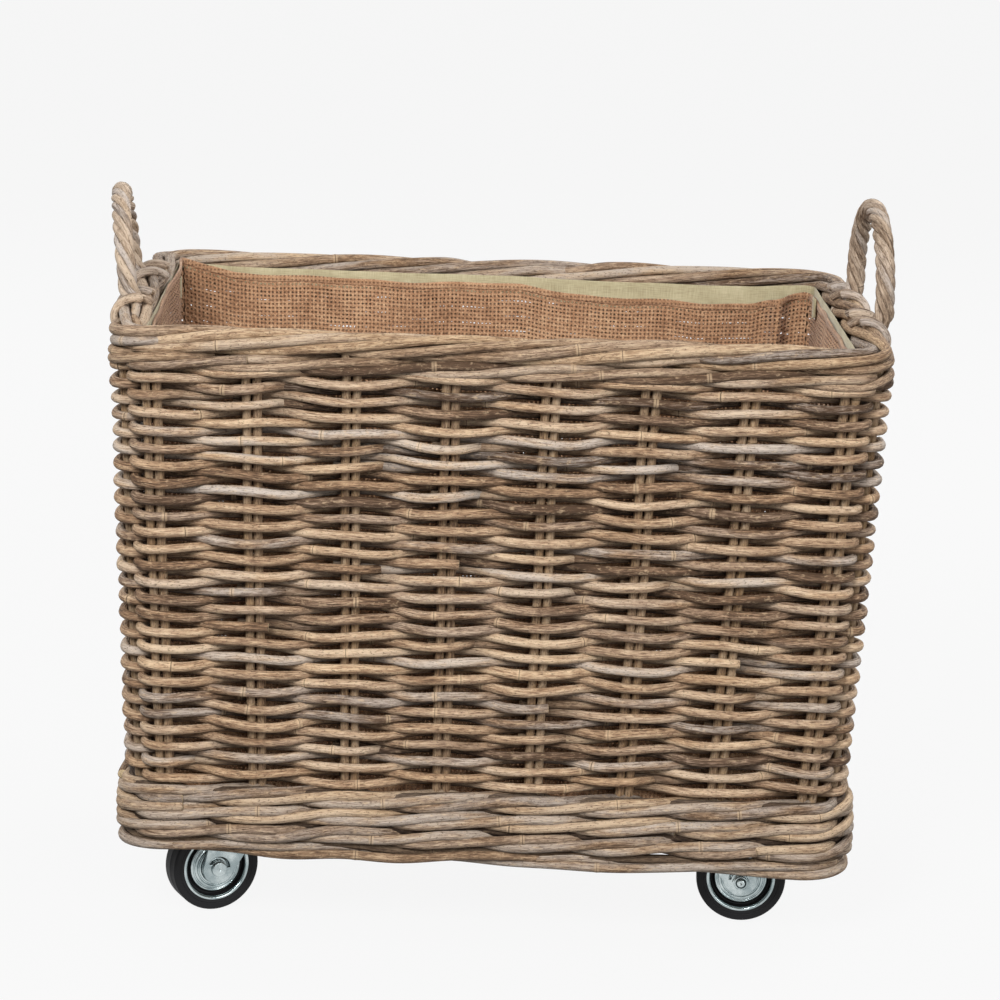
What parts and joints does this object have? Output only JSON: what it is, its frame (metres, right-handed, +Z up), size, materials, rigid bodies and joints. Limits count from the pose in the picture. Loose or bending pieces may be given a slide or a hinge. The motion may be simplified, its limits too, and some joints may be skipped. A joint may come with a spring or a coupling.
{
  "type": "wicker log basket",
  "caption": "Rectangular rattan log basket with a rolled rim, rope-twist end handles, a hessian liner bag and swivel castors under a board base.",
  "frame": {"origin": "on the floor under the middle of the basket", "axes": "+X along the basket's length to its right, +Y towards its back, +Z up; the front faces -Y"},
  "size_m": [0.6454, 0.431, 0.5962],
  "materials": {
    "plywood": "raw birch plywood",
    "stake_rattan": "matt grey-brown rattan with its bark on",
    "siding_rattan": "matt weathered rattan, tan to light grey",
    "border_rattan": "matt weathered rattan, tan to light grey",
    "handle_rattan": "matt weathered rattan, twisted",
    "hessian": "coarse open jute weave",
    "cotton": "sage-green plain cotton",
    "zinc_steel": "bright zinc plate on pressed steel",
    "wheel_steel": "bright zinc plate on pressed steel",
    "tyre_rubber": "satin black rubber"
  },
  "bodies": {
    "basket": {"base_board": "plywood", "stakes_front": "stake_rattan", "stakes_back": "stake_rattan", "stakes_left": "stake_rattan", "stakes_right": "stake_rattan", "siding_front": "siding_rattan", "siding_back": "siding_rattan", "siding_left": "siding_rattan", "siding_right": "siding_rattan", "rim_front": "border_rattan", "rim_back": "border_rattan", "rim_left": "border_rattan", "rim_right": "border_rattan", "foot_front": "border_rattan", "foot_back": "border_rattan", "foot_left": "border_rattan", "foot_right": "border_rattan", "handle_left": "handle_rattan", "handle_right": "handle_rattan", "handle_wraps_left": "handle_rattan", "handle_wraps_right": "handle_rattan", "liner_bag": "hessian", "liner_band": "cotton", "liner_ties": "cotton", "plate_fl": "zinc_steel", "plate_fr": "zinc_steel", "plate_bl": "zinc_steel", "plate_br": "zinc_steel", "plate_screws": "zinc_steel", "kingpins": "zinc_steel"},
    "swivel_fl": {"race_fl": "zinc_steel", "fork_fl": "zinc_steel", "axle_bolt_fl": "zinc_steel", "axle_nut_fl": "zinc_steel"},
    "wheel_fl": {"wheel_disc_fl": "wheel_steel", "tyre_fl": "tyre_rubber"},
    "swivel_fr": {"race_fr": "zinc_steel", "fork_fr": "zinc_steel", "axle_bolt_fr": "zinc_steel", "axle_nut_fr": "zinc_steel"},
    "wheel_fr": {"wheel_disc_fr": "wheel_steel", "tyre_fr": "tyre_rubber"},
    "swivel_bl": {"race_bl": "zinc_steel", "fork_bl": "zinc_steel", "axle_bolt_bl": "zinc_steel", "axle_nut_bl": "zinc_steel"},
    "wheel_bl": {"wheel_disc_bl": "wheel_steel", "tyre_bl": "tyre_rubber"},
    "swivel_br": {"race_br": "zinc_steel", "fork_br": "zinc_steel", "axle_bolt_br": "zinc_steel", "axle_nut_br": "zinc_steel"},
    "wheel_br": {"wheel_disc_br": "wheel_steel", "tyre_br": "tyre_rubber"}
  },
  "joints": [
    {"name": "swivel_fl", "type": "hinge", "parent": "basket", "child": "swivel_fl", "pos_m": [-0.2, -0.107, 0.1], "axis": [0, 0, 1], "continuous": true},
    {"name": "roll_fl", "type": "hinge", "parent": "swivel_fl", "child": "wheel_fl", "pos_m": [-0.22719, -0.11968, 0.0375], "axis": [0.4226, -0.9063, 0], "continuous": true},
    {"name": "swivel_fr", "type": "hinge", "parent": "basket", "child": "swivel_fr", "pos_m": [0.188, -0.107, 0.1], "axis": [0, 0, 1], "continuous": true},
    {"name": "roll_fr", "type": "hinge", "parent": "swivel_fr", "child": "wheel_fr", "pos_m": [0.21793, -0.10909, 0.0375], "axis": [0.0698, 0.9976, 0], "continuous": true},
    {"name": "swivel_bl", "type": "hinge", "parent": "basket", "child": "swivel_bl", "pos_m": [-0.2, 0.107, 0.1], "axis": [0, 0, 1], "continuous": true},
    {"name": "roll_bl", "type": "hinge", "parent": "swivel_bl", "child": "wheel_bl", "pos_m": [-0.22819, 0.11726, 0.0375], "axis": [-0.342, -0.9397, 0], "continuous": true},
    {"name": "swivel_br", "type": "hinge", "parent": "basket", "child": "swivel_br", "pos_m": [0.188, 0.107, 0.1], "axis": [0, 0, 1], "continuous": true},
    {"name": "roll_br", "type": "hinge", "parent": "swivel_br", "child": "wheel_br", "pos_m": [0.21619, 0.11726, 0.0375], "axis": [-0.342, 0.9397, 0], "continuous": true}
  ]
}
